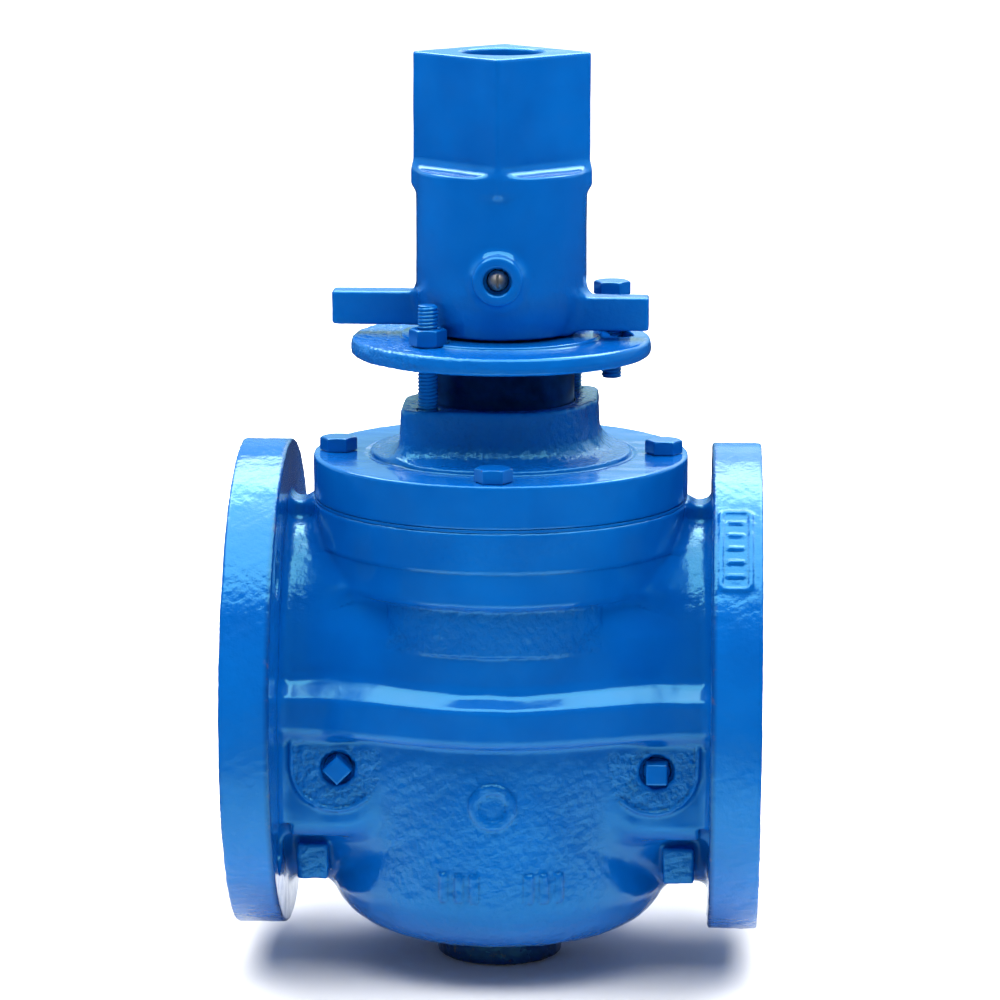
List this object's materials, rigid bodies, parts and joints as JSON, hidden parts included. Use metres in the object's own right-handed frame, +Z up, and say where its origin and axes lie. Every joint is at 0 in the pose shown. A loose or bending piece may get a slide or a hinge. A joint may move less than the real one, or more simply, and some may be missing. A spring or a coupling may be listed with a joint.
{
  "type": "plug valve",
  "caption": "Flanged quarter-turn plug valve: a stem turned by a square-topped head swings a rubber-faced plug across a round port, with adjustable stops on the gland plate",
  "frame": {"origin": "the middle of the foot's underside, straight below the point where the flow axis and the stem axis cross, which is 109 mm up", "axes": "X along the flow with the seat at +X, Z up the stem, -Y the front with the two pipe plugs"},
  "size_m": [0.2032, 0.1906, 0.3573],
  "materials": {
    "enamel": "glossy enamel over cast iron",
    "bare_iron": "machined",
    "steel": "machined",
    "stainless": "fine turned",
    "bronze": "sintered",
    "rubber": "moulded",
    "packing": "braided"
  },
  "bodies": {
    "housing": {"valve_body": "enamel", "seat_ring": "stainless", "bonnet_gasket": "rubber", "bonnet": "enamel", "pipe_plug_left": "enamel", "pipe_plug_right": "enamel", "upper_bearing": "bronze", "upper_grit_seal": "rubber", "upper_thrust_washer": "bronze", "lower_bearing": "bronze", "lower_grit_seal": "rubber", "lower_thrust_washer": "bronze", "bonnet_bolt_1": "enamel", "bonnet_bolt_2": "enamel", "bonnet_bolt_3": "enamel", "bonnet_bolt_4": "enamel", "packing_ring_1": "packing", "packing_ring_2": "packing", "packing_ring_3": "packing", "packing_ring_4": "packing", "packing_gland": "bare_iron", "stop_plate": "enamel", "gland_stud_1": "enamel", "gland_stud_2": "enamel", "gland_nut_1": "enamel", "gland_nut_2": "enamel"},
    "rotor": {"plug": "bare_iron", "plug_facing": "rubber", "drive_key": "steel", "operating_head": "enamel", "head_set_screw": "steel"},
    "open_stop": {"open_stop_bolt": "enamel", "open_stop_nut_upper": "enamel", "open_stop_nut_lower": "enamel"},
    "closed_stop": {"closed_stop_bolt": "enamel", "closed_stop_nut_upper": "enamel", "closed_stop_nut_lower": "enamel"}
  },
  "joints": [
    {"name": "quarter_turn", "type": "hinge", "parent": "housing", "child": "rotor", "pos_m": [0, 0, 0], "axis": [0, 0, 1], "range_deg": [-90, 0]},
    {"name": "open_stop_slide", "type": "hinge", "parent": "housing", "child": "open_stop", "pos_m": [0, 0, 0], "axis": [0, 0, 1], "range_deg": [-14, 4]},
    {"name": "closed_stop_slide", "type": "hinge", "parent": "housing", "child": "closed_stop", "pos_m": [0, 0, 0], "axis": [0, 0, 1], "range_deg": [-5, 0]}
  ]
}
